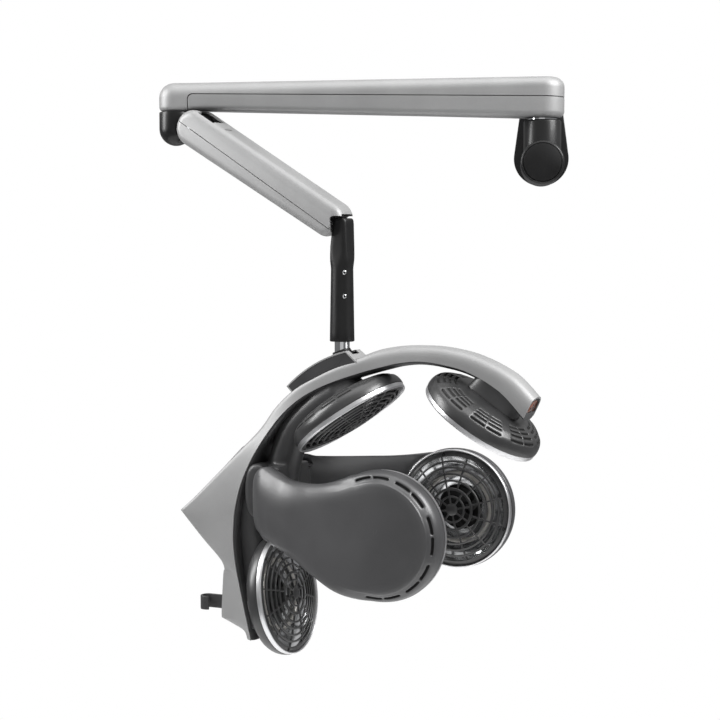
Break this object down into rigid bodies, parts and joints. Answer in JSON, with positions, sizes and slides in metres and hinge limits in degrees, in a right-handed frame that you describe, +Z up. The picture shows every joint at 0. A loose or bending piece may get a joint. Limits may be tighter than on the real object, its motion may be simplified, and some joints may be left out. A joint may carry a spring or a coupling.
{
  "type": "hair color processor",
  "caption": "Wall-hung salon hair processor: a swivel arm and balanced drop arm carry a head with round lamps on a curved spine and hinged side wings around the client.",
  "frame": {"origin": "centre of the wall plate's round part, on its back face", "axes": "+Y into the wall, +Z up, +X to the right when facing the wall"},
  "size_m": [0.71, 0.492, 0.9778],
  "materials": {
    "silver_paint": "satin",
    "silver_shell": "satin",
    "black_plastic": "satin",
    "black_metal": "satin",
    "charcoal_plastic": "satin",
    "grey_plastic": "satin",
    "chrome": "polished",
    "steel": "brushed",
    "reflector": "polished",
    "heater": "satin",
    "lens": "gloss",
    "board": "matte"
  },
  "bodies": {
    "wall_bracket": {"wall_plate": "black_metal", "bracket_body": "black_metal", "bracket_cap": "black_plastic", "pivot_washer": "chrome"},
    "upper_arm": {"upper_arm_top_shell": "silver_paint", "upper_arm_bottom_shell": "silver_paint"},
    "elbow": {"elbow_knuckle": "black_metal", "tilt_pin": "steel"},
    "spring_arm": {"spring_arm_top_shell": "silver_paint", "spring_arm_bottom_shell": "silver_paint", "balance_spring": "steel"},
    "level_link": {"level_link": "black_metal"},
    "drop_post": {"drop_sleeve": "black_plastic", "level_pin": "steel", "sleeve_screw_lower": "chrome", "sleeve_screw_upper": "chrome"},
    "post": {"post_tube": "chrome", "post_foot": "black_plastic"},
    "head": {"spine_shell": "silver_shell", "neck_block": "charcoal_plastic", "neck_strap": "silver_shell", "spine_liner": "charcoal_plastic", "control_fascia": "black_plastic", "circuit_board": "board", "cord_hook": "charcoal_plastic", "sensor_lens": "lens", "rear_lamp_dome": "charcoal_plastic", "rear_lamp_ring": "chrome", "rear_lamp_grille": "charcoal_plastic", "rear_lamp_reflector": "reflector", "rear_lamp_heater": "heater", "front_lamp_dome": "charcoal_plastic", "front_lamp_ring": "chrome", "front_lamp_grille": "charcoal_plastic", "front_lamp_reflector": "reflector", "front_lamp_heater": "heater", "nape_lamp_dome": "charcoal_plastic", "nape_lamp_ring": "chrome", "nape_lamp_grille": "charcoal_plastic", "nape_lamp_reflector": "reflector", "nape_lamp_heater": "heater"},
    "wing_left": {"wing_left_shell": "grey_plastic", "wing_left_hinge_pin": "steel", "left_lamp_ring": "chrome", "left_lamp_grille": "charcoal_plastic", "left_lamp_reflector": "reflector", "left_lamp_heater": "heater"},
    "wing_right": {"wing_right_shell": "grey_plastic", "wing_right_hinge_pin": "steel", "right_lamp_ring": "chrome", "right_lamp_grille": "charcoal_plastic", "right_lamp_reflector": "reflector", "right_lamp_heater": "heater"},
    "rear_fan": {"rear_lamp_fan": "black_plastic"},
    "front_fan": {"front_lamp_fan": "black_plastic"},
    "nape_fan": {"nape_lamp_fan": "black_plastic"},
    "left_fan": {"left_lamp_fan": "black_plastic"},
    "right_fan": {"right_lamp_fan": "black_plastic"},
    "start_button": {"start_button": "steel"},
    "mains_switch": {"mains_switch": "black_plastic"}
  },
  "joints": [
    {"name": "wall_swivel", "type": "hinge", "parent": "wall_bracket", "child": "upper_arm", "pos_m": [0, -0.094, 0.0646], "axis": [0, 0, 1], "range_deg": [0, 100]},
    {"name": "elbow_swivel", "type": "hinge", "parent": "upper_arm", "child": "elbow", "pos_m": [-0.633, -0.094, 0.0784], "axis": [0, 0, 1], "range_deg": [-150, 20]},
    {"name": "arm_tilt", "type": "hinge", "parent": "elbow", "child": "spring_arm", "pos_m": [-0.5895, -0.11429, 0.0484], "axis": [0.4226, 0.9063, 0], "range_deg": [-25, 12]},
    {"name": "link_swing", "type": "hinge", "parent": "elbow", "child": "level_link", "pos_m": [-0.5895, -0.11429, 0.0614], "axis": [0.4226, 0.9063, 0], "range_deg": [-25, 12]},
    {"name": "post_level", "type": "hinge", "parent": "spring_arm", "child": "drop_post", "pos_m": [-0.3477, -0.22704, -0.1075], "axis": [0.4226, 0.9063, 0], "range_deg": [-12, 25]},
    {"name": "head_swivel", "type": "hinge", "parent": "drop_post", "child": "post", "pos_m": [-0.32958, -0.23549, -0.3295], "axis": [0, 0, 1], "range_deg": [-165, 165]},
    {"name": "head_tilt", "type": "hinge", "parent": "post", "child": "head", "pos_m": [-0.26004, -0.2608, -0.5465], "axis": [0.342, 0.9397, 0], "range_deg": [0, 15]},
    {"name": "wing_left_swing", "type": "hinge", "parent": "head", "child": "wing_left", "pos_m": [-0.40575, -0.12901, -0.5665], "axis": [0, 0, 1], "range_deg": [-5, 35]},
    {"name": "wing_right_swing", "type": "hinge", "parent": "head", "child": "wing_right", "pos_m": [-0.45637, -0.26809, -0.5665], "axis": [0, 0, -1], "range_deg": [-5, 35]},
    {"name": "rear_fan_spin", "type": "hinge", "parent": "head", "child": "rear_fan", "pos_m": [-0.32358, -0.23767, -0.42048], "axis": [0.539, -0.1962, -0.8192], "continuous": true},
    {"name": "front_fan_spin", "type": "hinge", "parent": "head", "child": "front_fan", "pos_m": [-0.08855, -0.32321, -0.41489], "axis": [-0.5336, 0.1942, -0.8231], "continuous": true},
    {"name": "nape_fan_spin", "type": "hinge", "parent": "head", "child": "nape_fan", "pos_m": [-0.4435, -0.19403, -0.74394], "axis": [0.9281, -0.3378, 0.1564], "continuous": true},
    {"name": "left_fan_spin", "type": "hinge", "parent": "wing_left", "child": "left_fan", "pos_m": [-0.13864, -0.13046, -0.6], "axis": [-0.342, -0.9397, 0], "continuous": true},
    {"name": "right_fan_spin", "type": "hinge", "parent": "wing_right", "child": "right_fan", "pos_m": [-0.25082, -0.43868, -0.6], "axis": [0.342, 0.9397, 0], "continuous": true},
    {"name": "start_press", "type": "slide", "parent": "head", "child": "start_button", "axis": [0.6599, -0.2402, -0.7119], "range_m": [0, 0.0015], "stiffness_N_per_m": 900},
    {"name": "mains_rock", "type": "hinge", "parent": "head", "child": "mains_switch", "pos_m": [-0.5631, -0.15049, -0.64216], "axis": [-0.342, -0.9397, 0], "range_deg": [0, 7]}
  ],
  "couplings": [
    {"joint": "post_level", "follows": "arm_tilt", "ratio": -1},
    {"joint": "link_swing", "follows": "arm_tilt", "ratio": 1}
  ]
}
